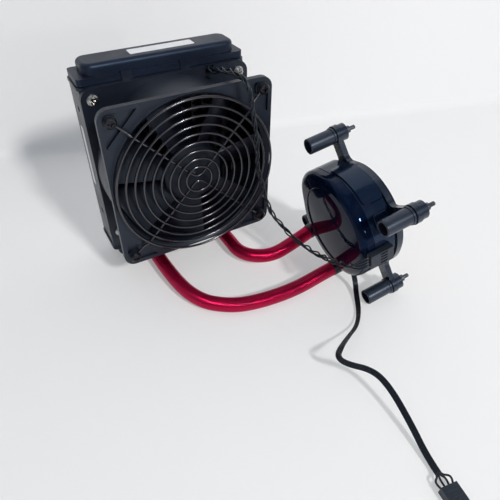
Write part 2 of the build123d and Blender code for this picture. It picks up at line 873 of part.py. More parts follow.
# Pump housing: the stator's chamber, the water chamber and the seat for the ring bracket
board_outer = pump_radius - port_depth - 0.5
with BuildPart() as pump_housing:
    add(head_shape.part)
    with BuildSketch(pump_plane.offset(cap_seam)):
        Circle(2 * pump_radius)
    extrude(amount=cap_front - cap_seam - 1, mode=Mode.SUBTRACT)
    seam_face = pump_housing.faces().filter_by(GeomType.PLANE).sort_by(pump_axis)[0]
    chamfer(seam_face.edges(), seam_groove / 2)
    turned(
        pump_plane,
        (0, ring_level - lobe_gap - 1),
        (pump_radius - lobe_round, ring_level - lobe_gap - 1),
        (pump_radius - lobe_round, ring_level - ring_gap),
        (ring_seat / 2, ring_level - ring_gap),
        (ring_seat / 2, ring_level + ring_thickness),
        (shoulder_diameter / 2, ring_level + ring_thickness),
        (shoulder_diameter / 2, plate_level),
        (0, plate_level),
    )
    add(side_panels)
    for angle in (long_elbow_angle, short_elbow_angle):
        with BuildSketch(side_plane(angle, pump_radius - port_depth, elbow_level)):
            Circle(port_diameter / 2)
        extrude(amount=port_depth + port_rise)
    with BuildSketch(socket_plane(pump_radius - 1, socket_height / 2)):
        Rectangle(socket_width, socket_height)
    extrude(amount=1 + pad_rise)
    with BuildSketch(pump_plane.offset(cap_seam)):
        Circle(pump_radius + port_rise + 1)
    extrude(amount=cap_front - cap_seam, mode=Mode.SUBTRACT)
    turned(
        pump_plane,
        (0, cap_seam - 1),
        (pump_radius - housing_wall, cap_seam - 1),
        (pump_radius - housing_wall, volute_level - ledge_thickness),
        (chamber_diameter / 2 - ledge_width, volute_level - ledge_thickness),
        (chamber_diameter / 2 - ledge_width, volute_level),
        (chamber_diameter / 2, volute_level),
        (chamber_diameter / 2, plate_level + 1),
        (0, plate_level + 1),
        mode=Mode.SUBTRACT,
    )
    for angle in (long_elbow_angle, short_elbow_angle):
        with BuildSketch(side_plane(angle, pump_radius - spigot_depth, elbow_level)):
            Circle(elbow_spigot / 2)
        extrude(amount=port_depth + port_rise, mode=Mode.SUBTRACT)
    with BuildSketch(side_plane(grommet_angle, 0, cap_seam)):
        Circle(grommet_diameter / 2)
    extrude(amount=pump_radius + 1, mode=Mode.SUBTRACT)
    turned(
        pump_plane,
        (seal_radius, plate_level - seal_thickness),
        (seal_radius + seal_width, plate_level - seal_thickness),
        (seal_radius + seal_width, plate_level),
        (seal_radius, plate_level),
        mode=Mode.SUBTRACT,
    )
    with BuildSketch(pump_plane.offset(plate_level)):
        with PolarLocations(plate_screw_circle / 2, plate_screw_count):
            Circle(plate_screw_shank / 2 + running_clearance)
    extrude(amount=-plate_screw_reach - plate_clearance, mode=Mode.SUBTRACT)
pump_housing.part.label = "pump_housing"
export_step(pump_housing.part, "parts/pump_housing.step")

# Cold plate: a copper disc with countersunk screws and short cooling ribs on the water side
with BuildPart() as cold_plate:
    with BuildSketch(pump_plane.offset(plate_level)):
        Circle(plate_diameter / 2)
    extrude(amount=plate_thickness)
    chamfer(cold_plate.faces().sort_by_distance(pump_plane.origin)[-1].outer_wire().edges(), 0.5)
    with BuildSketch(pump_plane.offset(plate_level)):
        with GridLocations(rib_pitch, 1, rib_count, 1):
            Rectangle(rib_thickness, rib_length)
    extrude(amount=-rib_height)
    for i in range(plate_screw_count):
        angle = radians(i * 360 / plate_screw_count)
        x = plate_screw_circle / 2 * cos(angle)
        y = plate_screw_circle / 2 * sin(angle)
        turned(
            spot(pump_plane, x, y, plate_level + plate_thickness),
            (0, 0),
            (plate_screw_head / 2, 0),
            (plate_screw_shank / 2 + running_clearance, -plate_screw_cone),
            (plate_screw_shank / 2 + running_clearance, -plate_thickness),
            (0, -plate_thickness),
            mode=Mode.SUBTRACT,
        )
cold_plate.part.label = "cold_plate"
export_step(cold_plate.part, "parts/cold_plate.step")

with BuildPart() as plate_screws:
    for i in range(plate_screw_count):
        angle = radians(i * 360 / plate_screw_count)
        x = plate_screw_circle / 2 * cos(angle)
        y = plate_screw_circle / 2 * sin(angle)
        head_plane = spot(pump_plane, x, y, plate_level + plate_thickness)
        turned(
            head_plane,
            (0, 0),
            (plate_screw_head / 2, 0),
            (plate_screw_shank / 2, -plate_screw_cone),
            (plate_screw_shank / 2, -plate_thickness - plate_screw_reach),
            (0, -plate_thickness - plate_screw_reach),
        )
        with BuildSketch(head_plane) as hex_recess:
            RegularPolygon(plate_screw_hex / 2, 6)
        extrude(hex_recess.sketch, amount=-plate_screw_cone, mode=Mode.SUBTRACT)
plate_screws.part.label = "plate_screws"
export_step(plate_screws.part, "parts/plate_screws.step")

with BuildPart() as plate_seal:
    turned(
        pump_plane,
        (seal_radius, plate_level - seal_thickness),
        (seal_radius + seal_width, plate_level - seal_thickness),
        (seal_radius + seal_width, plate_level),
        (seal_radius, plate_level),
    )
plate_seal.part.label = "plate_seal"
export_step(plate_seal.part, "parts/plate_seal.step")

# Volute plate: it parts the water from the stator, with a thin can round the rotor's magnet
can_inner = can_radius - can_wall
with BuildPart() as volute_plate:
    turned(
        pump_plane,
        (pump_shaft_diameter / 2, can_front),
        (pump_shaft_diameter / 2, can_front - can_wall),
        (0, can_front - can_wall),
        (0, can_front - 2 * can_wall),
        (can_radius, can_front - 2 * can_wall),
        (can_radius, volute_level),
        (chamber_diameter / 2, volute_level),
        (chamber_diameter / 2, volute_level + volute_thickness),
        (can_inner, volute_level + volute_thickness),
        (can_inner, can_front - can_wall),
        (pump_shaft_diameter / 2 + 1.2, can_front - can_wall),
        (pump_shaft_diameter / 2 + 1.2, can_front),
    )
volute_plate.part.label = "volute_plate"
export_step(volute_plate.part, "parts/volute_plate.step")

with BuildPart() as pump_shaft:
    with BuildSketch(pump_plane.offset(can_front - can_wall)):
        Circle(pump_shaft_diameter / 2)
    extrude(amount=impeller_level + impeller_thickness + vane_height + can_wall - can_front)
pump_shaft.part.label = "pump_shaft"
export_step(pump_shaft.part, "parts/pump_shaft.step")

# Pump rotor: the magnet in the can, with the impeller's disc and vanes above the volute plate
with BuildPart() as pump_rotor:
    turned(
        pump_plane,
        (pump_shaft_diameter / 2 + running_clearance, can_front + rotor_gap),
        (can_inner - rotor_gap, can_front + rotor_gap),
        (can_inner - rotor_gap, impeller_level),
        (impeller_radius, impeller_level),
        (impeller_radius, impeller_level + impeller_thickness),
        (pump_shaft_diameter / 2 + running_clearance, impeller_level + impeller_thickness),
    )
    with BuildSketch(pump_plane.offset(impeller_level + impeller_thickness)):
        with PolarLocations(4, vane_count):
            Rectangle(impeller_radius - 5, 1.2, align=(Align.MIN, Align.CENTER), rotation=25)
    extrude(amount=vane_height)
pump_rotor.part.label = "pump_rotor"
export_step(pump_rotor.part, "parts/pump_rotor.step")

with BuildPart() as pump_stator:
    with BuildSketch(pump_plane.offset(can_front)):
        Circle(pump_stator_diameter / 2)
        Circle(pump_stator_diameter / 2 - 3, mode=Mode.SUBTRACT)
        with PolarLocations(can_radius + rotor_gap, 6):
            Rectangle(pump_stator_diameter / 2 - can_radius - rotor_gap - 1, 5, align=(Align.MIN, Align.CENTER))
    extrude(amount=volute_level - ledge_thickness - can_front)
pump_stator.part.label = "pump_stator"
export_step(pump_stator.part, "parts/pump_stator.step")

with BuildPart() as pump_board:
    with BuildSketch(pump_plane.offset(can_front)):
        Circle(board_outer)
        Circle(can_radius + rotor_gap, mode=Mode.SUBTRACT)
    extrude(amount=-board_thickness)
pump_board.part.label = "pump_board"
export_step(pump_board.part, "parts/pump_board.step")

# Ring bracket with four arms, and an ear and a boss for each captive screw
posts = [(x, y) for x, y in product((-mount_pitch / 2, mount_pitch / 2), repeat=2)]
with BuildPart() as mount_ring:
    with BuildSketch(pump_plane.offset(ring_level)) as ring_outline:
        Circle(ring_seat / 2 + ring_gap + ring_width)
        with PolarLocations(0, 4, start_angle=45):
            Rectangle(mount_pitch / sqrt(2), arm_width, align=(Align.MIN, Align.CENTER))
        fillet(
            ring_outline.vertices().filter_by(lambda v: Vector(v.X, v.Y).length < mount_pitch / 2 + 8),
            arm_round,
        )
        with GridLocations(mount_pitch, mount_pitch, 2, 2):
            Circle(ear_diameter / 2)
        Circle(ring_seat / 2 + ring_gap, mode=Mode.SUBTRACT)
    extrude(amount=ring_thickness)
    with BuildSketch(pump_plane.offset(ring_level + ring_thickness)):
        with GridLocations(mount_pitch, mount_pitch, 2, 2):
            Circle(boss_diameter / 2)
    extrude(amount=boss_length)
    with BuildSketch(pump_plane.offset(ring_level)):
        with GridLocations(mount_pitch, mount_pitch, 2, 2):
            Circle(captive_hole / 2)
    extrude(amount=ring_thickness + boss_length, mode=Mode.SUBTRACT)
mount_ring.part.label = "mount_ring"
export_step(mount_ring.part, "parts/mount_ring.step")

with BuildPart() as screw_sleeves:
    for x, y in posts:
        sleeve_plane = spot(pump_plane, x, y)
        turned(
            sleeve_plane,
            (sleeve_bore / 2, 0),
            (sleeve_diameter / 2, 0),
            (sleeve_diameter / 2, sleeve_length - 2.2),
            (collar_diameter / 2, sleeve_length - 2.0),
            (collar_diameter / 2, sleeve_length - 0.8),
            (sleeve_diameter / 2, sleeve_length - 0.6),
            (sleeve_diameter / 2, sleeve_length),
            (sleeve_bore / 2, sleeve_length),
            rounds=(((sleeve_diameter / 2, 0), 0.6),),
        )
screw_sleeves.part.label = "screw_sleeves"
export_step(screw_sleeves.part, "parts/screw_sleeves.step")

# Captive screws, each with a washer and a spring inside its sleeve
ring_back = ring_level + ring_thickness + boss_length
washer_top = washer_level + washer_thickness
for i, (x, y) in enumerate(posts, start=1):
    screw_plane = spot(pump_plane, x, y)
    with BuildPart() as captive_screw:
        turned(
            screw_plane,
            (0, washer_level - captive_head_height),
            (captive_head / 2, washer_level - captive_head_height),
            (captive_head / 2, washer_level),
            (captive_shank / 2, washer_level),
            (captive_shank / 2, ring_back + step_gap),
            (shoulder_step / 2, ring_back + step_gap),
            (shoulder_step / 2, ring_back + step_gap + shoulder_length),
            (thread_diameter / 2, ring_back + step_gap + shoulder_length),
            (thread_diameter / 2, ring_back + step_gap + shoulder_length + thread_length - 0.5),
            (thread_diameter / 2 - 0.5, ring_back + step_gap + shoulder_length + thread_length),
            (0, ring_back + step_gap + shoulder_length + thread_length),
            rounds=(((captive_head / 2, washer_level - captive_head_height), 0.8),),
        )
        with BuildSketch(screw_plane.offset(washer_level - captive_head_height)) as cross_recess:
            Rectangle(recess_length, recess_width)
            Rectangle(recess_width, recess_length)
        extrude(cross_recess.sketch, amount=recess_depth, mode=Mode.SUBTRACT)
    captive_screw.part.label = f"captive_screw_{i}"
    export_step(captive_screw.part, f"parts/captive_screw_{i}.step")

    with BuildPart() as screw_washer:
        with BuildSketch(screw_plane.offset(washer_level)):
            Circle(washer_diameter / 2)
            Circle(captive_shank / 2 + running_clearance, mode=Mode.SUBTRACT)
        extrude(amount=washer_thickness)
    screw_washer.part.label = f"screw_washer_{i}"
    export_step(screw_washer.part, f"parts/screw_washer_{i}.step")

    spring_length = ring_level - washer_top - 2 * spring_gap - spring_wire
    coil_plane = screw_plane.offset(washer_top + spring_gap + spring_wire / 2)
    with BuildPart() as screw_spring:
        with BuildLine() as coil:
            Helix(
                pitch=spring_length / spring_turns,
                height=spring_length,
                radius=spring_radius,
                center=coil_plane.origin,
                direction=coil_plane.z_dir,
            )
        with BuildSketch(Plane(coil.line @ 0, x_dir=coil_plane.z_dir, z_dir=coil.line % 0)) as wire_section:
            RegularPolygon(spring_wire / 2, 6)
        sweep(sections=wire_section.sketch, path=coil.line, is_frenet=True)
    screw_spring.part.label = f"screw_spring_{i}"
    export_step(screw_spring.part, f"parts/screw_spring_{i}.step")


def along(plane_origin, direction, across):
    """A plane facing along a direction, with its x axis as close as can be to the other one."""
    return Plane(origin=plane_origin, x_dir=direction.cross(across.cross(direction)), z_dir=direction)


def cord(name, points, outer, inner=0.0):
    """Sweep a round tube along rounded runs between the points, and print its bends and length."""
    points = [Vector(*point) for point in points]
    radii = []
    for before, corner, after in zip(points, points[1:], points[2:]):
        shorter = min((corner - before).length, (after - corner).length)
        half_turn = radians((corner - before).get_angle(after - corner) / 2)
        radii.append(0.45 * shorter / tan(half_turn))
    with BuildLine() as route:
        FilletPolyline(*points, radius=radii)
    with BuildSketch(Plane(origin=route.line @ 0, z_dir=route.line % 0)) as ring:
        Circle(outer / 2)
        if inner:
            Circle(inner / 2, mode=Mode.SUBTRACT)
    sweep(sections=ring.sketch, path=route.line)
    length = sum(edge.length for edge in route.edges())
    print(name, "points", [tuple(round(value, 2) for value in point) for point in points])
    print(name, "radii", [round(radius, 1) for radius in radii], "length", round(length, 1))
    print(name, "section times length", round(ring.sketch.area * length))


# Hose elbows: each leg leaves its port and turns towards the pump head's face, with a barb
elbow_radius = pump_radius + hose_gap + hose_diameter / 2
long_corner = side_plane(long_elbow_angle, elbow_radius, elbow_level).origin
short_corner = side_plane(short_elbow_angle, elbow_radius, elbow_level).origin
long_way = -pump_dir
short_way = (Vector(*short_bend) - short_corner).normalized()
for name, angle, corner, way in (
    ("elbow_long", long_elbow_angle, long_corner, long_way),
    ("elbow_short", short_elbow_angle, short_corner, short_way),
):
    port_plane = side_plane(angle, pump_radius + port_rise, elbow_level)
    outlet_plane = along(corner, way, port_plane.z_dir)
    with BuildPart() as elbow:
        with BuildSketch(port_plane):
            Circle(elbow_diameter / 2)
        extrude(amount=elbow_radius + elbow_diameter / 2 - pump_radius - port_rise)
        fillet(elbow.faces().sort_by_distance(pump_plane.origin)[-1].edges(), elbow_round)
        with BuildSketch(port_plane):
            Circle(elbow_spigot / 2 - running_clearance)
        extrude(amount=-port_rise - spigot_depth)
        with BuildSketch(outlet_plane):
            Circle(outlet_diameter / 2)
        extrude(amount=elbow_leg)
        barb(outlet_plane.offset(elbow_leg - 0.2), elbow_barb_reach + 0.2)
        with BuildSketch(outlet_plane):
            Circle(hose_bore / 2 - 1.4)
        extrude(amount=elbow_leg + elbow_barb_reach, mode=Mode.SUBTRACT)
        with BuildSketch(port_plane.offset(elbow_radius - pump_radius - port_rise)):
            Circle(port_bore / 2)
        extrude(amount=-elbow_radius + pump_radius - spigot_depth - 1, mode=Mode.SUBTRACT)
    elbow.part.label = name
    export_step(elbow.part, f"parts/{name}.step")

# Hoses from the lower tank's barbs to the elbows, with a collar at each end
barb_face = -tank_depth / 2 - barb_boss_length
long_start = Vector(-barb_place, barb_face, barb_height)
short_start = Vector(barb_place, barb_face, barb_height)
long_end = long_corner + long_way * elbow_leg
short_end = short_corner + short_way * elbow_leg
with BuildPart() as hose_long:
    cord(
        "hose_long",
        [long_start, *long_bends, long_corner + long_way * long_last_run, long_end],
        hose_diameter,
        hose_bore,
    )
hose_long.part.label = "hose_long"
export_step(hose_long.part, "parts/hose_long.step")

with BuildPart() as hose_short:
    cord(
        "hose_short",
        [short_start, *short_bends, short_bend, short_end],
        hose_diameter,
        hose_bore,
    )
hose_short.part.label = "hose_short"
export_step(hose_short.part, "parts/hose_short.step")

with BuildPart() as hose_collars:
    for start, way, diameter in (
        (long_start, Vector(*long_bends[0]) - long_start, hose_collar_diameter),
        (short_start, Vector(*short_bends[0]) - short_start, hose_collar_diameter),
        (long_end, long_way, shrink_diameter),
        (short_end, short_way, shrink_diameter),
    ):
        with BuildSketch(along(start, way.normalized(), pump_dir if way.Y < -1 else pump_y)):
            Circle(diameter / 2)
            Circle(hose_diameter / 2, mode=Mode.SUBTRACT)
        extrude(amount=hose_collar_length)
hose_collars.part.label = "hose_collars"
export_step(hose_collars.part, "parts/hose_collars.step")

# Fan socket on its pad, the pins in it, and the plug on the pins
seat_radius = pump_radius + pad_rise
pin_radius = seat_radius + plug_gap + socket_depth / 2
pin_plane = Plane(
    origin=socket_plane(pin_radius, 0).origin,
    x_dir=socket_plane(pin_radius, 0).x_dir,
    z_dir=-socket_plane(pin_radius, 0).y_dir,
)
with BuildPart() as fan_socket:
    with BuildSketch(socket_plane(seat_radius, socket_height / 2)):
        Rectangle(socket_width, socket_height)
    extrude(amount=plug_gap + socket_depth)
    with BuildSketch(pin_plane):
        with GridLocations(pin_pitch, 1, pin_count, 1):
            Rectangle(pin_width, pin_width)
    extrude(amount=-socket_height / 2, mode=Mode.SUBTRACT)
fan_socket.part.label = "fan_socket"
export_step(fan_socket.part, "parts/fan_socket.step")

with BuildPart() as socket_pins:
    with BuildSketch(pin_plane.offset(-socket_height / 2)):
        with GridLocations(pin_pitch, 1, pin_count, 1):
            Rectangle(pin_width, pin_width)
    extrude(amount=socket_height / 2 + pin_reach)
socket_pins.part.label = "socket_pins"
export_step(socket_pins.part, "parts/socket_pins.step")

with BuildPart() as fan_plug:
    with BuildSketch(pin_plane):
        Rectangle(socket_width - 0.4, socket_depth)
    extrude(amount=plug_length)
    with BuildSketch(pin_plane):
        with GridLocations(pin_pitch, 1, pin_count, 1):
            Rectangle(pin_hole, pin_hole)
    extrude(amount=pin_reach + 1, mode=Mode.SUBTRACT)
    with BuildSketch(socket_plane(pin_radius + socket_depth / 2, -window_length / 2 - 1)):
        with GridLocations(pin_pitch, 1, pin_count, 1):
            Rectangle(window_width, window_length)
    extrude(amount=-window_depth, mode=Mode.SUBTRACT)
fan_plug.part.label = "fan_plug"
export_step(fan_plug.part, "parts/fan_plug.step")

# Fan cable: four twisted wires, from the notch in the rear flange to the plug
plug_end = pin_plane.origin + pin_plane.z_dir * plug_length
with BuildPart() as fan_cable:
    cord(
        "fan_cable",
        [
            fan_plane.from_local_coords((notch_place, fan_size / 2 - fan_cable_diameter / 2, notch_level)),
            *fan_cable_bends,
            plug_end + pin_plane.z_dir * fan_cable_last_run,
            plug_end,
        ],
        fan_cable_diameter,
    )
fan_cable.part.label = "fan_cable"
export_step(fan_cable.part, "parts/fan_cable.step")

# Power cable and its connector, which lies on the table
grommet_plane = side_plane(grommet_angle, pump_radius, cap_seam)
with BuildPart() as cable_grommet:
    turned(
        grommet_plane,
        (0, -housing_wall),
        (grommet_diameter / 2 - running_clearance, -housing_wall),
        (grommet_diameter / 2 - running_clearance, 0),
        (grommet_diameter / 2 + 0.8, 0),
        (grommet_diameter / 2 + 0.8, 0.6),
        (power_cable_diameter / 2 + 0.6, grommet_reach),
        (0, grommet_reach),
    )
cable_grommet.part.label = "cable_grommet"
export_step(cable_grommet.part, "parts/cable_grommet.step")

power_start = grommet_plane.origin + grommet_plane.z_dir * grommet_reach
with BuildPart() as power_cable:
    cord(
        "power_cable",
        [power_start, power_start + grommet_plane.z_dir * power_first_run, *power_cable_bends, connector_place],
        power_cable_diameter,
    )
power_cable.part.label = "power_cable"
export_step(power_cable.part, "parts/power_cable.step")

connector_way = Vector(*connector_place) - Vector(*power_cable_bends[-1])
connector_plane = along(Vector(*connector_place), Vector(connector_way.X, connector_way.Y, 0).normalized(), pump_x)
with BuildPart() as power_connector:
    with BuildSketch(connector_plane):
        RectangleRounded(power_cable_diameter, power_cable_diameter * 0.8, 1)
    with BuildSketch(connector_plane.offset(boot_length)):
        RectangleRounded(connector_width - 1, connector_depth - 1, 1)
    loft()
    with BuildSketch(connector_plane.offset(boot_length)):
        RectangleRounded(connector_width, connector_depth, 0.6)
    extrude(amount=connector_length)
    with BuildSketch(connector_plane.offset(boot_length + connector_length)):
        with GridLocations(pin_pitch, pin_pitch, pin_count, 2):
            Rectangle(pin_hole, pin_hole)
    extrude(amount=-pin_reach, mode=Mode.SUBTRACT)
power_connector.part.label = "power_connector"
export_step(power_connector.part, "parts/power_connector.step")
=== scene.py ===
"""Liquid cooler: an upright radiator with its fan, and a pump head on two crimson hoses."""

from math import cos, pi, radians, sin

import bmesh
import bpy
from mathutils import Matrix, Quaternion, Vector


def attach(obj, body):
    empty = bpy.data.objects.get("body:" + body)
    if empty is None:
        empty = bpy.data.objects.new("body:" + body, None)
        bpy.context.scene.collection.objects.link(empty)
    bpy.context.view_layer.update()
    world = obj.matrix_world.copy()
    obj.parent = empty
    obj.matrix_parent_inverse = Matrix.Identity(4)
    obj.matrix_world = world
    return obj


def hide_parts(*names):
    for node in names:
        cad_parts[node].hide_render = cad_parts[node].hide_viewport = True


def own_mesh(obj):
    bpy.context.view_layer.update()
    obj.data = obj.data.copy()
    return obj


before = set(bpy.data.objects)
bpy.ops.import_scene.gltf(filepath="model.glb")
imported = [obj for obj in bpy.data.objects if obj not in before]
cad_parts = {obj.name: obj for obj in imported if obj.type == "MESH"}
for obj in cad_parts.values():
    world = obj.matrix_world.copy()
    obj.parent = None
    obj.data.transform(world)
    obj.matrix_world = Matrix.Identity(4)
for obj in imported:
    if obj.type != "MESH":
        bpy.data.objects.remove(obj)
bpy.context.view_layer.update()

# Camera at the photo's viewpoint
camera_data = bpy.data.cameras.new("camera")
camera = bpy.data.objects.new("camera", camera_data)
bpy.context.scene.collection.objects.link(camera)
sensor_width = 36.0
focal_pixels, picture_pixels = 481.1, 500
camera_data.sensor_width = sensor_width
camera_data.lens = sensor_width * focal_pixels / picture_pixels
camera_data.clip_start = 0.01
camera_data.clip_end = 20.0
right = Vector((0.86653, -0.49901, 0.01013))
up = Vector((0.31958, 0.57031, 0.75671))
view = Vector((0.38339, 0.65248, -0.65367))
pose = Matrix((right, up, -view)).transposed().to_4x4()
pose.translation = (-0.11305, -0.31960, 0.26577)
camera.matrix_world = pose
bpy.context.scene.camera = camera
bpy.context.scene.view_settings.view_transform = "Standard"


def link(name, mesh):
    """Add a mesh object to the scene."""
    obj = bpy.data.objects.new(name, mesh)
    bpy.context.scene.collection.objects.link(obj)
    return obj


def spline_points(points):
    """The points of a smooth line that has the given points as its control points."""
    curve = bpy.data.curves.new("route", "CURVE")
    curve.dimensions = "3D"
    curve.resolution_u = 24
    spline = curve.splines.new("NURBS")
    spline.points.add(len(points) - 1)
    for point, place in zip(spline.points, points):
        point.co = (*place, 1.0)
    spline.order_u = 3
    spline.use_endpoint_u = True
    route = bpy.data.objects.new("route", curve)
    bpy.context.scene.collection.objects.link(route)
    line = [vertex.co.copy() for vertex in bpy.data.meshes.new_from_object(route).vertices]
    bpy.data.objects.remove(route)
    return line


def directions(line):
    """The line's direction at each point."""
    last = len(line) - 1
    return [(line[min(i + 1, last)] - line[max(i - 1, 0)]).normalized() for i in range(last + 1)]


def travelling(line, first=None):
    """A side direction at each point that turns no more than the line does."""
    ways = directions(line)
    side = first or ways[0].orthogonal()
    side = (side - ways[0] * side.dot(ways[0])).normalized()
    sides = [side]
    for before, way in zip(ways, ways[1:]):
        side = before.rotation_difference(way) @ side
        side = (side - way * side.dot(way)).normalized()
        sides.append(side)
    return ways, sides


def lengths(line):
    """The distance along the line to each of its points."""
    total = [0.0]
    for before, after in zip(line, line[1:]):
        total.append(total[-1] + (after - before).length)
    return total


def skin(name, line, sections, ways, sides, capped=True):
    """A mesh along the line from one closed outline of (side, across) per point, with a UV map in
    turns round the outline and metres along the line."""
    count = len(sections[0])
    travelled = lengths(line)
    vertices = []
    for centre, section, way, side in zip(line, sections, ways, sides):
        across = way.cross(side)
        vertices += [centre + side * x + across * y for x, y in section]
    faces = []
    for i in range(len(line) - 1):
        for j in range(count):
            k = (j + 1) % count
            faces.append((i * count + j, i * count + k, (i + 1) * count + k, (i + 1) * count + j))
    if capped:
        faces.append(tuple(reversed(range(count))))
        faces.append(tuple(range((len(line) - 1) * count, len(line) * count)))
    mesh = bpy.data.meshes.new(name)
    mesh.from_pydata([tuple(v) for v in vertices], [], faces)
    layer = mesh.uv_layers.new(name="UVMap")
    for polygon in mesh.polygons:
        if len(polygon.vertices) != 4:
            continue
        corners = [divmod(v, count) for v in polygon.vertices]
        wraps = {j for _, j in corners} == {0, count - 1} and count > 2
        for loop, (i, j) in zip(polygon.loop_indices, corners):
            turn = 1.0 if wraps and j == 0 else j / count
            layer.data[loop].uv = (turn, travelled[i])
        polygon.use_smooth = True
    return link(name, mesh)


def circle(radius, sides):
    """Points round a circle."""
    return [(radius * cos(2 * pi * i / sides), radius * sin(2 * pi * i / sides)) for i in range(sides)]


def tube(name, line, radius, sides=12, capped=True, first=None):
    """A round tube along the line."""
    ways, across = travelling(line, first)
    return skin(name, line, [circle(radius, sides)] * len(line), ways, across, capped)


def joined(name, parts):
    """Join several new objects into one."""
    mesh = bpy.data.meshes.new(name)
    whole = bmesh.new()
    for part in parts:
        whole.from_mesh(part.data)
    whole.to_mesh(mesh)
    whole.free()
    for part in parts:
        bpy.data.objects.remove(part)
    return link(name, mesh)


# Routes of the hoses and cables, in metres
long_hose_route = (
    (-0.03000, -0.01600, 0.00700),
    (-0.03000, -0.05600, 0.00700),
    (-0.02300, -0.09000, 0.00580),
    (-0.00400, -0.10750, 0.00580),
    (0.01800, -0.11400, 0.00580),
    (0.04800, -0.11600, 0.00580),
    (0.07604, -0.11260, 0.00664),
    (0.09075, -0.11337, 0.00945),
)
short_hose_route = (
    (0.03000, -0.01600, 0.00700),
    (0.03000, -0.03800, 0.00700),
    (0.02960, -0.06200, 0.00680),
    (0.04600, -0.07950, 0.01050),
    (0.06700, -0.08100, 0.01720),
    (0.08958, -0.08027, 0.02522),
)
fan_cable_route = (
    (0.03000, -0.01550, 0.14300),
    (0.03000, -0.02400, 0.14300),
    (0.03100, -0.04100, 0.15050),
    (0.03450, -0.06300, 0.15000),
    (0.04100, -0.06300, 0.11800),
    (0.04250, -0.06350, 0.08400),
    (0.05400, -0.06300, 0.04300),
    (0.06000, -0.09000, 0.03100),
    (0.06600, -0.11700, 0.03150),
    (0.06350, -0.14500, 0.04600),
    (0.06634, -0.15679, 0.05331),
    (0.07320, -0.15715, 0.05462),
)
power_cable_route = (
    (0.08966, -0.12900, 0.01623),
    (0.09109, -0.13208, 0.00790),
    (0.08650, -0.14000, 0.00290),
    (0.07730, -0.15470, 0.00200),
    (0.06540, -0.16630, 0.00400),
    (0.05110, -0.17320, 0.00800),
    (0.03810, -0.18090, 0.01400),
    (0.02830, -0.18850, 0.01900),
    (0.02900, -0.19600, 0.02020),
    (0.04130, -0.20720, 0.01900),
    (0.04450, -0.22000, 0.01500),
    (0.04250, -0.24200, 0.00800),
    (0.03920, -0.25900, 0.00300),
    (0.03760, -0.26940, 0.00300),
)


# Materials
class Paint:
    """A procedural material whose nodes are added in order."""

    def __init__(self, name, colour, roughness, metallic=0.0, coat=0.0, coat_roughness=0.05, specular=0.5):
        self.material = bpy.data.materials.new(name)
        self.material.use_nodes = True
        self.tree = self.material.node_tree
        self.shader = self.tree.nodes["Principled BSDF"]
        self.set("Base Color", (*colour, 1.0))
        self.set("Roughness", roughness)
        self.set("Metallic", metallic)
        self.set("Coat Weight", coat)
        self.set("Coat Roughness", coat_roughness)
        self.set("Specular IOR Level", specular)
        self.colour = colour
        self.roughness = roughness
        self.space = self.tree.nodes.new("ShaderNodeTexCoord").outputs["Object"]
        self.relief = None

    def set(self, socket, value):
        self.shader.inputs[socket].default_value = value

    def node(self, kind, **values):
        node = self.tree.nodes.new(kind)
        for key, value in values.items():
            if hasattr(node, key):
                setattr(node, key, value)
            else:
                node.inputs[key.replace("_", " ")].default_value = value
        return node

    def join(self, output, socket):
        self.tree.links.new(output, socket)

    def noise(self, scale, detail=4.0, roughness=0.55, stretch=None):
        """Noise over the object's own space, with the scale in features per metre."""
        space = self.space
        if stretch:
            mapping = self.node("ShaderNodeMapping")
            mapping.inputs["Scale"].default_value = stretch
            self.join(space, mapping.inputs["Vector"])
            space = mapping.outputs["Vector"]
        node = self.node("ShaderNodeTexNoise", Scale=scale, Detail=detail, Roughness=roughness)
        self.join(space, node.inputs["Vector"])
        return node.outputs["Fac"]

    def remap(self, value, low, high, to_low, to_high):
        node = self.node("ShaderNodeMapRange")
        limits = {"From Min": low, "From Max": high, "To Min": to_low, "To Max": to_high}
        for socket, number in limits.items():
            node.inputs[socket].default_value = number
        self.join(value, node.inputs["Value"])
        return node.outputs["Result"]

    def math(self, operation, *inputs):
        node = self.node("ShaderNodeMath", operation=operation)
        for socket, value in zip(node.inputs, inputs):
            if isinstance(value, (int, float)):
                socket.default_value = value
            else:
                self.join(value, socket)
        return node.outputs["Value"]

    def tint(self, amount, other):
        """Mix the colour towards another one by a 0 to 1 amount."""
        node = self.node("ShaderNodeMix", data_type="RGBA")
        self.join(amount, node.inputs["Factor"])
        source = self.shader.inputs["Base Color"]
        if source.is_linked:
            self.join(source.links[0].from_socket, node.inputs["A"])
        else:
            node.inputs["A"].default_value = (*self.colour, 1.0)
        node.inputs["B"].default_value = (*other, 1.0)
        self.join(node.outputs["Result"], source)
        return self

    def vary(self, scale, spread, detail=4.0):
        """Uneven roughness."""
        return self.uneven(self.noise(scale, detail), spread)

    def uneven(self, marks, spread):
        """Roughness that follows some marks, up to the spread to either side."""
        value = self.remap(marks, 0.3, 0.7, self.roughness - spread, self.roughness + spread)
        self.join(value, self.shader.inputs["Roughness"])
        return self

    def bump(self, height, depth, strength=1.0):
        """Relief from a 0 to 1 height, as deep as given in metres."""
        node = self.node("ShaderNodeBump", Distance=depth, Strength=strength)
        self.join(height, node.inputs["Height"])
        if self.relief:
            self.join(self.relief, node.inputs["Normal"])
        self.relief = node.outputs["Normal"]
        self.join(self.relief, self.shader.inputs["Normal"])
        return self


def dusty(paint, amount=0.12, dust=(0.30, 0.30, 0.31)):
    """Thin dust in soft patches."""
    patches = paint.remap(paint.noise(70.0, 6.0), 0.5, 0.8, 0.0, amount)
    specks = paint.remap(paint.noise(1600.0, 2.0), 0.66, 0.74, 0.0, 0.5)
    return paint.tint(paint.math("MAXIMUM", patches, paint.math("MULTIPLY", specks, amount)), dust)


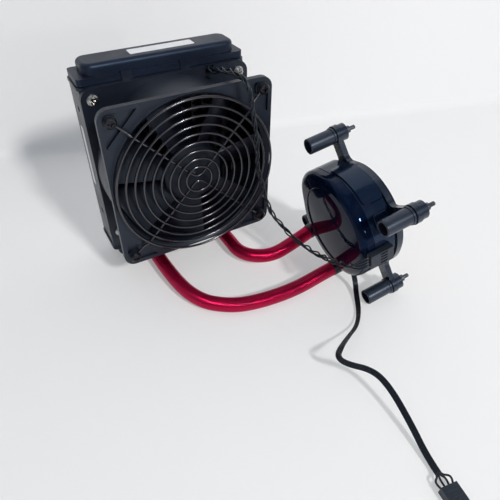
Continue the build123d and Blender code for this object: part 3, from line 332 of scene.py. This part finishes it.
def moulded(name, colour, roughness, grain=2600.0, depth=0.00002, sheen=(0.72, 0.84, 1.0), **more):
    """Moulded plastic or paint with a fine grain and a cool reflection."""
    paint = Paint(name, colour, roughness, **more)
    paint.set("Specular Tint", (*sheen, 1.0))
    dusty(paint, 0.02)
    paint.vary(60.0, 0.06)
    return paint.bump(paint.noise(grain, 2.0), depth)


def crowned(paint, centre, radius, rise):
    """A face that bulges a little towards its centre, so that its reflection bends."""
    away = paint.node("ShaderNodeVectorMath", operation="DISTANCE")
    paint.join(paint.space, away.inputs[0])
    away.inputs[1].default_value = centre
    share = paint.math("DIVIDE", away.outputs["Value"], radius)
    return paint.bump(paint.math("SUBTRACT", 4.0, paint.math("MULTIPLY", share, share)), rise)


deep_blue = (0.45, 0.65, 1.0)
night_blue = (0.30, 0.50, 1.0)
pump_centre = (0.0802, -0.1148, 0.05368)
tank_colour = (0.008, 0.011, 0.021)
tank_paint = moulded("tank_paint", tank_colour, 0.40, 1800.0, 0.00003, deep_blue, specular=0.34)
header_paint = moulded("header_paint", (0.006, 0.009, 0.018), 0.36, 1500.0, 0.00003)
rail_paint = moulded("rail_paint", (0.014, 0.016, 0.022), 0.36, 1500.0, 0.00003)
core_paint = moulded("core_paint", (0.004, 0.005, 0.008), 0.45)
fan_plastic = moulded("fan_plastic", (0.006, 0.008, 0.015), 0.40, 2400.0, 0.00003)
rotor_plastic = moulded("rotor_plastic", (0.004, 0.005, 0.010), 0.34, 2000.0, 0.00001, specular=0.35)
inner_plastic = moulded("inner_plastic", (0.05, 0.05, 0.055), 0.5)
lacquer = {"coat": 0.3, "coat_roughness": 0.15}
bracket_paint = moulded("bracket_paint", (0.008, 0.013, 0.026), 0.24, 1300.0, 0.00003, **lacquer)
sleeve_plastic = moulded("sleeve_plastic", (0.016, 0.022, 0.036), 0.32, 1200.0, 0.00002)
fitting_plastic = moulded("fitting_plastic", (0.010, 0.011, 0.016), 0.28)
connector_plastic = moulded("connector_plastic", (0.010, 0.013, 0.020), 0.34, 1500.0)
glossy_housing = moulded("glossy_housing", (0.003, 0.008, 0.022), 0.12, 900.0, 0.000008, deep_blue)
cap_colour = (0.001, 0.004, 0.016)
mirror_cap = moulded("mirror_cap", cap_colour, 0.06, 500.0, 0.000004, night_blue, specular=0.2)
crowned(mirror_cap, pump_centre, 0.035, 0.0022)
black_rubber = moulded("black_rubber", (0.010, 0.010, 0.012), 0.6, 1200.0, 0.00004)
collar_rubber = moulded("collar_rubber", (0.010, 0.009, 0.011), 0.42, 900.0, 0.00003)
cable_skin = moulded("cable_skin", (0.006, 0.007, 0.011), 0.30, 1200.0, 0.00002)
board_mask = moulded("board_mask", (0.02, 0.10, 0.04), 0.35)


def metal(name, colour, roughness, stretch=(1, 1, 1), scale=400.0, spread=0.08):
    """Bare or plated metal with fine drawn marks."""
    paint = Paint(name, colour, roughness, metallic=1.0)
    marks = paint.noise(scale, 3.0, stretch=stretch)
    paint.uneven(marks, spread)
    paint.tint(paint.remap(paint.noise(90.0), 0.45, 0.8, 0.0, 0.35), tuple(c * 0.6 for c in colour))
    return paint.bump(marks, 0.000006)


bright_steel = metal("bright_steel", (0.62, 0.62, 0.64), 0.26)
screw_plate = metal("screw_plate", (0.42, 0.41, 0.40), 0.26)
black_oxide = metal("black_oxide", (0.035, 0.036, 0.042), 0.34)
dark_tip = metal("dark_tip", (0.10, 0.11, 0.13), 0.30)
guard_plate = metal("guard_plate", (0.085, 0.085, 0.095), 0.20, scale=700.0, spread=0.04)
ferrite = metal("ferrite", (0.10, 0.10, 0.11), 0.5)
lamination = metal("lamination", (0.35, 0.33, 0.32), 0.4, stretch=(1, 12, 1))
bearing_steel = metal("bearing_steel", (0.7, 0.7, 0.72), 0.15)
ground_copper = metal("ground_copper", (0.83, 0.43, 0.26), 0.20, stretch=(1, 1, 14), scale=900.0)
bright_pin = metal("bright_pin", (0.85, 0.70, 0.38), 0.2)

paper = Paint("label_film", (0.80, 0.81, 0.83), 0.42)
paper.tint(paper.remap(paper.noise(140.0, 6.0), 0.4, 0.75, 0.0, 0.3), (0.62, 0.62, 0.63))
paper.vary(200.0, 0.08)
paper.bump(paper.noise(900.0, 3.0), 0.00001)


def braided(name, colour, painted_shade_and_tone, painted_highlight):
    """A glossy braided sleeve with fine ribs round it, with painted shade in the weave's hollows and along
    its edges, a painted highlight on the strand crowns, and darker tone in random patches.
    """
    strands_round, crossings_per_metre = 20.0, 560.0
    rib_pitch, rib_depth, weave_depth = 0.00125, 0.00024, 0.00006
    paint = Paint(name, colour, 0.17, metallic=0.85, coat=0.15, coat_roughness=0.10)
    paint.set("Specular Tint", (1.0, 0.42, 0.60, 1.0))
    place = paint.node("ShaderNodeSeparateXYZ")
    paint.join(paint.node("ShaderNodeUVMap").outputs["UV"], place.inputs["Vector"])
    around = paint.math("MULTIPLY", place.outputs["X"], strands_round)
    along = paint.math("MULTIPLY", place.outputs["Y"], crossings_per_metre)
    waves = []
    for sign in (1.0, -1.0):
        phase = paint.math("ADD", around, paint.math("MULTIPLY", along, sign))
        waves.append(paint.math("ABSOLUTE", paint.math("SINE", paint.math("MULTIPLY", phase, pi))))
    weave = paint.math("MULTIPLY", waves[0], waves[1])
    # Painted shade: darker where the weave sinks between the strands
    paint.tint(paint.remap(weave, 0.0, 0.4, 0.55, 0.0), painted_shade_and_tone)
    # Painted highlight: lighter on the crowns of the strands
    paint.tint(paint.remap(weave, 0.70, 1.0, 0.0, 0.35), painted_highlight)
    # Darker tone in random soft patches
    paint.tint(paint.remap(paint.noise(45.0, 5.0), 0.45, 0.75, 0.0, 0.35), painted_shade_and_tone)
    # Painted shade: darker towards the edges that turn away from view
    edge = paint.node("ShaderNodeLayerWeight", Blend=0.3)
    paint.tint(paint.math("MULTIPLY", edge.outputs["Facing"], 0.6), painted_shade_and_tone)
    rib = paint.math("SINE", paint.math("MULTIPLY", place.outputs["Y"], 2 * pi / rib_pitch))
    paint.bump(paint.remap(rib, -1.0, 1.0, 0.0, 1.0), rib_depth)
    paint.join(paint.relief, paint.shader.inputs["Coat Normal"])
    return paint.bump(weave, weave_depth)


# Base colour, then the colour of the painted shade and darker tone, then the painted highlight colour
hose_braid = braided("hose_braid", (0.58, 0.002, 0.055), (0.14, 0.0, 0.020), (0.86, 0.05, 0.18))

finishes = {
    "bottom_tank": tank_paint,
    "top_tank": tank_paint,
    "bottom_header": header_paint,
    "top_header": header_paint,
    "bottom_gasket": black_rubber,
    "top_gasket": black_rubber,
    "radiator_tubes": core_paint,
    "radiator_fins": core_paint,
    "side_rail_left": rail_paint,
    "side_rail_right": rail_paint,
    "top_label": paper,
    "side_label": paper,
    "fan_frame": fan_plastic,
    "fan_rotor": rotor_plastic,
    "fan_shaft": dark_tip,
    "fan_magnet": ferrite,
    "fan_bearings": bearing_steel,
    "fan_stator": lamination,
    "fan_board": board_mask,
    "finger_guard": guard_plate,
    "guard_screws": black_oxide,
    "radiator_screws": screw_plate,
    "pump_housing": glossy_housing,
    "pump_cap": mirror_cap,
    "pump_stator": lamination,
    "pump_board": board_mask,
    "pump_rotor": inner_plastic,
    "pump_shaft": bright_steel,
    "volute_plate": inner_plastic,
    "cold_plate": ground_copper,
    "plate_seal": black_rubber,
    "plate_screws": screw_plate,
    "mount_ring": bracket_paint,
    "screw_sleeves": sleeve_plastic,
    "elbow_long": fitting_plastic,
    "elbow_short": fitting_plastic,
    "fan_socket": connector_plastic,
    "socket_pins": bright_pin,
    "cable_grommet": black_rubber,
    "hose_collars": collar_rubber,
    "fan_plug": connector_plastic,
    "hose_long": hose_braid,
    "hose_short": hose_braid,
    "fan_cable": cable_skin,
    "power_cable": cable_skin,
    "power_connector": connector_plastic,
}
for i in range(1, 5):
    finishes[f"captive_screw_{i}"] = dark_tip
    finishes[f"screw_washer_{i}"] = bright_steel
    finishes[f"screw_spring_{i}"] = bright_steel


def dress(obj, paint):
    """Give every slot of the object one material."""
    if not obj.data.materials:
        obj.data.materials.append(paint.material)
    for i in range(len(obj.data.materials)):
        obj.data.materials[i] = paint.material


for name, paint in finishes.items():
    dress(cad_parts[name], paint)

# Hoses: braided tubes that start and end inside their collars
hose_radius = 0.0055
for name, route in (("hose_long", long_hose_route), ("hose_short", short_hose_route)):
    line = spline_points(route)
    piece = tube(f"{name}_braid", line, hose_radius, 40, capped=False)
    dress(piece, hose_braid)
    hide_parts(name)
    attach(piece, "cooler")


# Finger guard: nine smooth rings in front of two bent wires, with an eyelet at each corner
fan_back, fan_middle = -13.5, 85.0
wire_radius = 0.00085
ring_height, spoke_height, eyelet_height = 43.2, 41.9, 38.9
first_ring, ring_step, ring_count = 9.5, 6.05, 9
corner_radius, eyelet_radius = 74.25, 3.3
foot_end, spoke_start, first_bend, last_bend = 64.0, 60.0, 56.0, 12.0


def on_fan(angle, radius, height):
    """A point in front of the fan from its polar coordinates in millimetres."""
    across = radius * cos(radians(angle))
    above = radius * sin(radians(angle))
    return Vector((across, fan_back - height, fan_middle + above)) / 1000


def wire_ring(name, centre, radius, thickness, around=120, across=12):
    """A closed ring of round wire that faces the front."""
    vertices = []
    for i in range(around):
        out = Vector((cos(2 * pi * i / around), 0, sin(2 * pi * i / around)))
        for x, y in circle(thickness, across):
            vertices.append(centre + out * (radius + x) + Vector((0, y, 0)))
    faces = []
    for i in range(around):
        for j in range(across):
            a, b = (i + 1) % around, (j + 1) % across
            faces.append((i * across + j, i * across + b, a * across + b, a * across + j))
    mesh = bpy.data.meshes.new(name)
    mesh.from_pydata([tuple(v) for v in vertices], [], faces)
    for polygon in mesh.polygons:
        polygon.use_smooth = True
    return link(name, mesh)


fan_face = on_fan(0, 0, ring_height)
wires = [
    wire_ring(f"ring_{i}", fan_face, (first_ring + i * ring_step) / 1000, wire_radius)
    for i in range(ring_count)
]
arm = (
    (corner_radius - eyelet_radius, eyelet_height),
    (foot_end, eyelet_height),
    (spoke_start, spoke_height),
    (first_bend, spoke_height),
    (last_bend, spoke_height),
)
for side in (1, -1):
    bends = [on_fan(side * 45, *place) for place in arm] + [on_fan(0, 0, spoke_height)]
    bends += [on_fan(side * 135, *place) for place in reversed(arm)]
    wires.append(tube(f"bent_wire_{side}", spline_points(bends), wire_radius, 12))
    for angle in (45, 135):
        place = on_fan(side * angle, corner_radius, eyelet_height)
        wires.append(wire_ring(f"eyelet_{side}_{angle}", place, eyelet_radius / 1000, wire_radius, 40))
guard_wires = joined("guard_wires", wires)
dress(guard_wires, guard_plate)
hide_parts("finger_guard")
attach(guard_wires, "cooler")

# Springs of the captive screws: each one copied into a mesh of its own
for i in range(1, 5):
    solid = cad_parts[f"screw_spring_{i}"]
    coil = link(f"spring_coil_{i}", solid.data.copy())
    coil.matrix_world = solid.matrix_world.copy()
    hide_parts(f"screw_spring_{i}")
    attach(coil, "cooler")
    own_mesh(coil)

# Fan cable: four thin wires loosely twisted, side by side where they enter the plug
line = spline_points(fan_cable_route)
ways, sides = travelling(line)
travelled = lengths(line)
plug_row = Vector((0.1852, -0.0528, -0.9818))
plug_pitch = 0.00254
strand_count, strand_radius = 4, 0.0006
twist_length, twist_radius = 0.027, 0.00125
fan_out_start, fan_out_length = 0.016, 0.011
strands = []
for i in range(strand_count):
    strand = []
    for centre, way, side, s in zip(line, ways, sides, travelled):
        angle = 2 * pi * (i / strand_count + s / twist_length) + 0.9 * sin(s * 90 + i * 1.7)
        spread = twist_radius + 0.0004 * sin(s * 61 + i * 2.3)
        twisted = (side * cos(angle) + way.cross(side) * sin(angle)) * spread
        entry = max(0.0, min(1.0, (s - travelled[-1] + fan_out_start) / fan_out_length))
        entry = entry * entry * (3 - 2 * entry)
        in_plug = plug_row * (i - (strand_count - 1) / 2) * plug_pitch
        strand.append(centre + twisted * (1 - entry) + in_plug * entry)
    strands.append(tube(f"strand_{i}", strand, strand_radius, 10))
fan_wires = joined("fan_wires", strands)
dress(fan_wires, cable_skin)
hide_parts("fan_cable")
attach(fan_wires, "cooler")


# Power connector: a ribbed block with eight sockets, and the ribbon's wires splayed into its back
def grid_block(name, origin, wide, high, way, xs, ys, length, holes, depth):
    """A block of cells between the given lines, with a square hole in front of some of them."""
    block = bmesh.new()

    def face(*corners):
        block.faces.new([block.verts.new(origin + wide * x + high * y + way * z) for x, y, z in corners])

    for i, (x0, x1) in enumerate(zip(xs, xs[1:])):
        for j, (y0, y1) in enumerate(zip(ys, ys[1:])):
            back = length - depth if (i, j) in holes else length
            face((x0, y0, back), (x1, y0, back), (x1, y1, back), (x0, y1, back))
            face((x0, y1, 0), (x1, y1, 0), (x1, y0, 0), (x0, y0, 0))
            if (i, j) in holes:
                rim = ((x0, y0), (x1, y0), (x1, y1), (x0, y1))
                for (ax, ay), (bx, by) in zip(rim, rim[1:] + rim[:1]):
                    face((ax, ay, back), (ax, ay, length), (bx, by, length), (bx, by, back))
        face((x0, ys[0], 0), (x1, ys[0], 0), (x1, ys[0], length), (x0, ys[0], length))
        face((x0, ys[-1], length), (x1, ys[-1], length), (x1, ys[-1], 0), (x0, ys[-1], 0))
    for y0, y1 in zip(ys, ys[1:]):
        face((xs[0], y0, length), (xs[0], y1, length), (xs[0], y1, 0), (xs[0], y0, 0))
        face((xs[-1], y0, 0), (xs[-1], y1, 0), (xs[-1], y1, length), (xs[-1], y0, length))
    bmesh.ops.remove_doubles(block, verts=block.verts, dist=1e-7)
    bmesh.ops.recalc_face_normals(block, faces=block.faces)
    mesh = bpy.data.meshes.new(name)
    block.to_mesh(mesh)
    block.free()
    return link(name, mesh)


connector_foot = Vector((0.0376, -0.2694, 0.0030))
connector_way = Vector((-0.0016, -0.0104, 0.0)).normalized()
connector_high = Vector((0.0, 0.0, 1.0))
connector_wide = connector_high.cross(connector_way)
block_start, block_length, block_width, block_height = 0.0072, 0.0166, 0.0104, 0.0058
socket_columns, socket_rows = 4, 2
socket_pitch, socket_size, socket_depth = 0.00254, 0.0012, 0.006
rib_count, rib_start, rib_step, rib_length = 5, 0.0030, 0.0016, 0.0007
rib_inset, rib_rise = 0.0012, 0.0002


def cell_lines(count, size):
    """Lines across the block at its two sides and at both sides of each socket."""
    lines = [-size / 2]
    for k in range(count):
        socket = (k - (count - 1) / 2) * socket_pitch
        lines += [socket - socket_size / 2, socket + socket_size / 2]
    return lines + [size / 2]


parts = [
    grid_block(
        "block",
        connector_foot + connector_way * block_start,
        connector_wide,
        connector_high,
        connector_way,
        cell_lines(socket_columns, block_width),
        cell_lines(socket_rows, block_height),
        block_length,
        {(2 * i + 1, 2 * j + 1) for i in range(socket_columns) for j in range(socket_rows)},
        socket_depth,
    )
]
for k in range(rib_count):
    rib_place = block_start + rib_start + k * rib_step
    parts.append(
        grid_block(
            f"rib_{k}",
            connector_foot + connector_way * rib_place,
            connector_wide,
            connector_high,
            connector_way,
            (-block_width / 2 + rib_inset, block_width / 2 - rib_inset),
            (block_height / 2 - rib_rise, block_height / 2 + rib_rise),
            rib_length,
            set(),
            0.0,
        )
    )
connector_body = joined("connector_body", parts)
bevel = connector_body.modifiers.new("bevel", "BEVEL")
bevel.width = 0.00018
bevel.segments = 2
bevel.limit_method = "ANGLE"
dress(connector_body, connector_plastic)
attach(connector_body, "cooler")
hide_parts("power_connector")
wire_count, wire_pitch = 4, 0.00096
splayed = []
for k in range(wire_count):
    column = k - (wire_count - 1) / 2
    near = column * wire_pitch
    far = column * socket_pitch
    bow = far * 1.25
    stations = (
        (near, -0.001, 0.0),
        (near, 0.001, 0.0),
        (bow, 0.0028, 0.0008),
        (bow, 0.0052, 0.0006),
        (far, 0.0070, 0.0),
        (far, 0.0095, 0.0),
    )
    run = [
        connector_foot + connector_wide * x + connector_way * y + connector_high * z
        for x, y, z in stations
    ]
    splayed.append(tube(f"splayed_{k}", spline_points(run), strand_radius, 12))
connector_wires = joined("connector_wires", splayed)
dress(connector_wires, cable_skin)
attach(connector_wires, "cooler")

# Power cable: a flat ribbon of wires, turned edge-on where the photo shows it thin
line = spline_points(power_cable_route)
ways = directions(line)
travelled = lengths(line)
whole = travelled[-1]
# Turn in degrees from facing the camera, by share of the length
turns = ((0.0, 10), (0.12, 15), (0.22, 60), (0.34, 80), (0.43, 70), (0.50, 30), (0.58, 10), (1.0, 0))
sides = []
for way, s in zip(ways, travelled):
    part = s / whole
    for (start, low), (end, high) in zip(turns, turns[1:]):
        if start <= part <= end:
            turn = low + (high - low) * (part - start) / (end - start)
    wide = way.cross(view).normalized()
    sides.append(Quaternion(way, radians(turn)) @ wide)
half_wide, half_thick = 0.00052, 0.00046
ribbon = []
for k in range(wire_count):
    offset = (k - (wire_count - 1) / 2) * wire_pitch
    outline = [(offset + x * half_wide, y * half_thick) for x, y in circle(1.0, 12)]
    ribbon.append(skin(f"ribbon_{k}", line, [outline] * len(line), ways, sides))
power_ribbon = joined("power_ribbon", ribbon)
dress(power_ribbon, cable_skin)
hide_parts("power_cable")
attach(power_ribbon, "cooler")


# Stage: a pale floor that curves up into a wall
def stage_sheet():
    """A floor and a wall behind the object, joined by a small curve."""
    foot = Vector((-0.071, 0.198, 0.0))
    way = Vector((0.965, -0.262, 0.0))
    back = Vector((0.262, 0.965, 0.0))
    bend, floor_depth, wall_height, half_width = 0.012, 3.0, 2.5, 4.0
    profile = [(-floor_depth, 0.0), (-bend, 0.0)]
    for i in range(1, 9):
        angle = i * pi / 16
        profile.append((-bend + bend * sin(angle), bend - bend * cos(angle)))
    profile.append((0.0, wall_height))
    vertices = []
    for end in (-half_width, half_width):
        vertices += [foot + way * end + back * y + Vector((0, 0, z)) for y, z in profile]
    count = len(profile)
    faces = [(i, i + 1, count + i + 1, count + i) for i in range(count - 1)]
    mesh = bpy.data.meshes.new("stage")
    mesh.from_pydata([tuple(v) for v in vertices], [], faces)
    for polygon in mesh.polygons:
        polygon.use_smooth = True
    return link("stage", mesh)


def pale_sheet():
    """A pale material that the camera and reflections see brighter towards the right, through a painted
    glow that stands in for light falling stronger there, and see through from behind."""
    paint = Paint("floor_paint", (0.86, 0.86, 0.86), 0.5, specular=0.2)
    paint.tint(paint.remap(paint.noise(2.0, 2.0), 0.3, 0.7, 0.0, 0.2), (0.82, 0.82, 0.83))
    paint.bump(paint.noise(500.0, 2.0), 0.00002)
    # Painted light: an emission mixed in for camera and reflection rays, growing towards the right
    painted_glow = paint.node("ShaderNodeEmission", Color=(0.95, 0.955, 0.96, 1.0), Strength=1.0)
    rays = paint.node("ShaderNodeLightPath").outputs
    place = paint.node("ShaderNodeSeparateXYZ")
    paint.join(paint.space, place.inputs["Vector"])
    rightward = paint.math("MULTIPLY", place.outputs["X"], 0.87)
    painted_light_slope = paint.math("MULTIPLY_ADD", place.outputs["Y"], -0.5, rightward)
    mirrored = paint.math("MAXIMUM", rays["Is Glossy Ray"], rays["Is Transmission Ray"])
    seen = paint.math("MAXIMUM", rays["Is Camera Ray"], mirrored)
    blend = paint.node("ShaderNodeMixShader")
    paint.join(paint.math("MULTIPLY", paint.remap(painted_light_slope, -0.20, 0.25, 0.10, 0.45), seen), blend.inputs["Fac"])
    paint.join(paint.shader.outputs["BSDF"], blend.inputs[1])
    paint.join(painted_glow.outputs["Emission"], blend.inputs[2])
    one_sided = paint.node("ShaderNodeMixShader")
    paint.join(paint.node("ShaderNodeNewGeometry").outputs["Backfacing"], one_sided.inputs["Fac"])
    paint.join(paint.node("ShaderNodeBsdfTransparent").outputs["BSDF"], one_sided.inputs[1])
    paint.join(blend.outputs["Shader"], one_sided.inputs[2])
    paint.join(one_sided.outputs["Shader"], paint.tree.nodes["Material Output"].inputs["Surface"])
    return paint


floor = stage_sheet()
dress(floor, pale_sheet())


def lamp(name, place, target, size, power, colour=(1, 1, 1)):
    """A soft square lamp that faces the target."""
    data = bpy.data.lights.new(name, "AREA")
    data.shape = "SQUARE"
    data.size = size
    data.energy = power
    data.color = colour
    obj = bpy.data.objects.new(name, data)
    obj.location = place
    obj.rotation_mode = "QUATERNION"
    obj.rotation_quaternion = (Vector(target) - Vector(place)).to_track_quat("-Z", "Y")
    bpy.context.scene.collection.objects.link(obj)


middle = Vector((0.02, -0.07, 0.06))
key_way, key_distance = Vector((0.118, -0.78, 0.616)), 2.2
lamp("key", middle + key_way * key_distance, middle, 0.2, 31.0, (1.0, 0.98, 0.96))
lamp("top", middle + Vector((-0.5, 0.1, 1.4)), middle, 1.4, 1.6)
lamp("front_glint", middle + Vector((0.30, -1.30, 0.35)), middle, 0.07, 1.1)
lamp("side", middle + Vector((1.4, 0.1, 0.55)), middle, 0.45, 2.6, (0.85, 0.92, 1.0))
world = bpy.data.worlds.new("world")
bpy.context.scene.world = world
world.use_nodes = True
sky = world.node_tree.nodes["Background"]
sky.inputs["Color"].default_value = (0.78, 0.87, 1.0, 1.0)
sky.inputs["Strength"].default_value = 0.27
